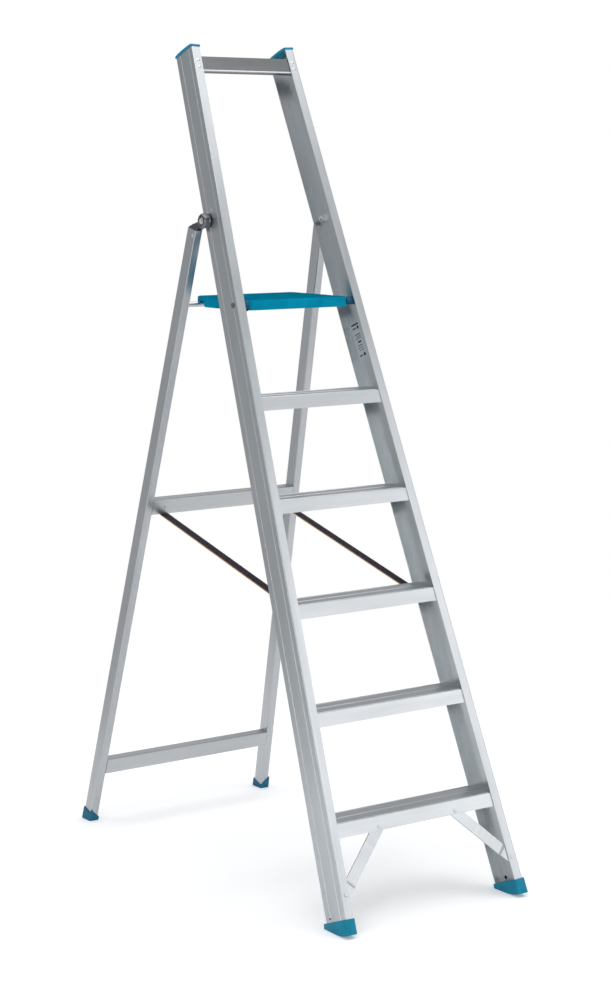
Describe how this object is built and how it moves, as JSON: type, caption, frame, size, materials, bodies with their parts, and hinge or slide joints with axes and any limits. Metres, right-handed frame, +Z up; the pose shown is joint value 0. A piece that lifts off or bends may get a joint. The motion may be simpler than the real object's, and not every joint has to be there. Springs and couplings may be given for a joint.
{
  "type": "step ladder",
  "caption": "Folding aluminium step ladder with treads between channel stiles, a standing platform, a rear leg frame and two webbing straps",
  "frame": {"origin": "on the floor, in the middle of the open ladder's footprint", "axes": "+X to the climber's right, +Y from the treads to the rear legs, +Z up"},
  "size_m": [0.563, 1.1534, 2.0033],
  "materials": {
    "extrusion": "mill finish extrusion, satin",
    "rod": "drawn rod, satin",
    "fastener": "zinc plated, semi-bright",
    "dark_screw": "blackened",
    "knuckle": "polished dark cast metal",
    "moulding": "moulded plastic, fine grain",
    "tray": "powder coat over pressed sheet",
    "label": "silver film",
    "webbing": "woven webbing"
  },
  "bodies": {
    "front_frame": {"foot_screws": "dark_screw", "front_foot_left": "moulding", "front_foot_right": "moulding", "hinge_bolt_left": "fastener", "hinge_bolt_right": "fastener", "hinge_nut_left": "fastener", "hinge_nut_right": "fastener", "hinge_washer_left": "moulding", "hinge_washer_right": "moulding", "label": "label", "platform_pin_left": "fastener", "platform_pin_right": "fastener", "stay_left": "extrusion", "stay_right": "extrusion", "stay_rivets": "fastener", "stile_left": "extrusion", "stile_right": "extrusion", "strap_tread_rivets": "fastener", "strap_tread_washers": "fastener", "top_cap_left": "moulding", "top_cap_right": "moulding", "top_rail": "extrusion", "top_rail_rivets": "fastener", "tread_1": "extrusion", "tread_2": "extrusion", "tread_3": "extrusion", "tread_4": "extrusion", "tread_5": "extrusion", "tread_rivets": "fastener", "web_rivets": "fastener"},
    "rear_frame": {"rear_leg_left": "extrusion", "rear_leg_right": "extrusion", "rear_foot_left": "moulding", "rear_foot_right": "moulding", "knuckle_left": "knuckle", "knuckle_right": "knuckle", "knuckle_rivets": "fastener", "rear_brace_lower": "extrusion", "rear_brace_upper": "extrusion", "brace_brackets": "extrusion", "bracket_rivets": "fastener", "platform_rod": "rod", "strap_brace_rivets": "fastener", "strap_left": "webbing", "strap_right": "webbing"},
    "platform": {"platform": "tray", "platform_bush_left": "moulding", "platform_bush_right": "moulding", "platform_hook_left": "moulding", "platform_hook_right": "moulding"}
  },
  "joints": [
    {"name": "rear_frame_fold", "type": "hinge", "parent": "front_frame", "child": "rear_frame", "pos_m": [0, 0.12106, 1.57135], "axis": [-1, 0, 0], "range_deg": [0, 35.8], "deforming": ["strap_left", "strap_right"]},
    {"name": "platform_tilt", "type": "hinge", "parent": "front_frame", "child": "platform", "pos_m": [0, -0.00653, 1.37301], "axis": [1, 0, 0], "range_deg": [0, 68]}
  ],
  "couplings": [
    {"joint": "platform_tilt", "follows": "rear_frame_fold", "ratio": 1.899}
  ]
}
